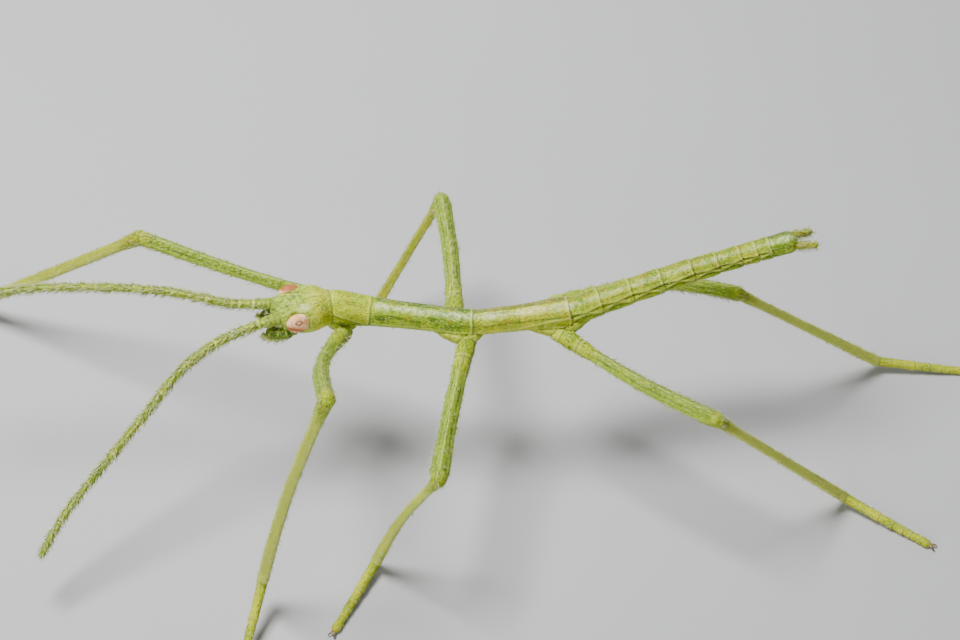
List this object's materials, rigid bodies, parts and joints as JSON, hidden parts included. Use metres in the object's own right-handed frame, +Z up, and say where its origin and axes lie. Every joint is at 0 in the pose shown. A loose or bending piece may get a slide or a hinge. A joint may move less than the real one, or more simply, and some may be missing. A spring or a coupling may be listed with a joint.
{
  "type": "giant stick insect nymph",
  "caption": "Young giant stick insect, a slim green body on long thin legs, walking with its feelers held forward, as a still life-size model.",
  "frame": {"origin": "on the floor, under the middle of the object's box", "axes": "+X towards the tail, so that the head faces -X; +Y to the insect's right; +Z up"},
  "size_m": [0.0832, 0.0352, 0.0224],
  "materials": {
    "head_cuticle": "satin living cuticle, bright leaf green",
    "body_cuticle": "satin living cuticle, yellow green with a silvery sheen",
    "leg_cuticle": "fine ridged cuticle, yellow green",
    "feeler_cuticle": "matt bristly cuticle, pale green",
    "cercus_cuticle": "matt bristly cuticle, olive brown",
    "eye": "smooth domed eye, salmon pink",
    "claw": "hard dark horn",
    "bristle": "fine pale bristles"
  },
  "bodies": {
    "root": {"head": "head_cuticle", "eye_left": "eye", "eye_right": "eye", "feeler_left": "feeler_cuticle", "feeler_right": "feeler_cuticle", "prothorax": "body_cuticle", "mesothorax": "body_cuticle", "metathorax": "body_cuticle", "abdomen_front": "body_cuticle", "abdomen_rear": "body_cuticle", "cercus_left": "cercus_cuticle", "cercus_right": "cercus_cuticle", "femur_left_front": "leg_cuticle", "tibia_left_front": "leg_cuticle", "foot_left_front": "leg_cuticle", "femur_right_front": "leg_cuticle", "tibia_right_front": "leg_cuticle", "foot_right_front": "leg_cuticle", "femur_left_middle": "leg_cuticle", "tibia_left_middle": "leg_cuticle", "foot_left_middle": "leg_cuticle", "femur_right_middle": "leg_cuticle", "tibia_right_middle": "leg_cuticle", "foot_right_middle": "leg_cuticle", "femur_left_hind": "leg_cuticle", "tibia_left_hind": "leg_cuticle", "foot_left_hind": "leg_cuticle", "femur_right_hind": "leg_cuticle", "tibia_right_hind": "leg_cuticle", "foot_right_hind": "leg_cuticle"}
  },
  "joints": []
}
